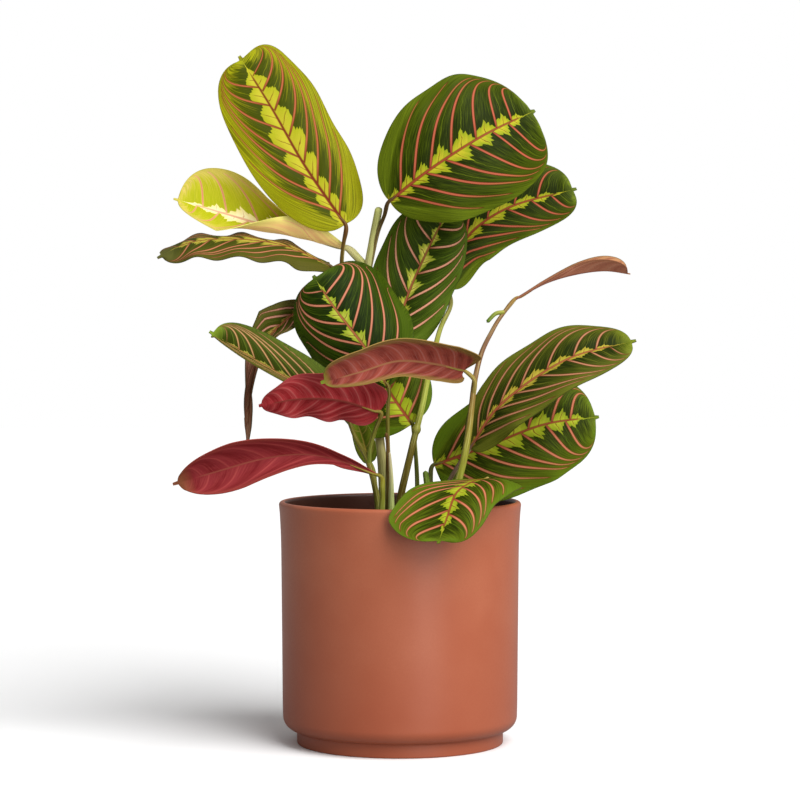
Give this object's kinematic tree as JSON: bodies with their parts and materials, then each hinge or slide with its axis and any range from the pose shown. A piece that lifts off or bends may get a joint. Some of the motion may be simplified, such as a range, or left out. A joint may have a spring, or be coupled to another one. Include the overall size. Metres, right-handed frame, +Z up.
{
  "type": "potted prayer plant",
  "caption": "Red-veined prayer plant with broad patterned leaves on slim stems, growing in soil in a round terracotta-coloured pot.",
  "frame": {"origin": "centre of the flat underside of the pot's foot, on the pot's axis", "axes": "+Z up along the pot's axis; -Y towards the side that the foliage faces; +X to the right as seen from that side"},
  "size_m": [0.2736, 0.1585, 0.4071],
  "materials": {
    "terracotta": "satin",
    "potting_soil": "matte",
    "leaf_green": "satin",
    "leaf_lime": "satin",
    "leaf_red": "satin",
    "leaf_dry": "matte",
    "stem_green": "satin",
    "stem_pale": "satin",
    "stem_brown": "satin"
  },
  "bodies": {
    "root": {"pot": "terracotta", "soil": "potting_soil", "leaf_tall_left": "leaf_lime", "leaf_pale_unrolling": "leaf_lime", "leaf_narrow_left": "leaf_green", "leaf_top_round": "leaf_green", "leaf_back_right": "leaf_green", "leaf_back_middle": "leaf_green", "leaf_round_middle": "leaf_green", "leaf_drooping_left": "leaf_green", "leaf_folded_left": "leaf_green", "leaf_turned_upper": "leaf_red", "leaf_turned_middle": "leaf_red", "leaf_turned_low": "leaf_red", "leaf_low_middle": "leaf_green", "leaf_right_upper": "leaf_green", "leaf_right_lower": "leaf_green", "leaf_over_lip": "leaf_green", "leaf_withered_right": "leaf_dry", "leaf_small_low": "leaf_green", "stem_back": "stem_pale", "stem_left": "stem_green", "stem_low_left": "stem_green", "sheath_middle": "stem_pale", "stub_old": "stem_brown", "stem_round_middle": "stem_green", "stem_tall_right": "stem_green", "stem_low_middle": "stem_green", "shoot_young": "stem_green", "stem_right_lower": "stem_green", "stem_right_upper": "stem_brown", "stem_far_right": "stem_green", "stem_over_lip": "stem_green"}
  },
  "joints": []
}
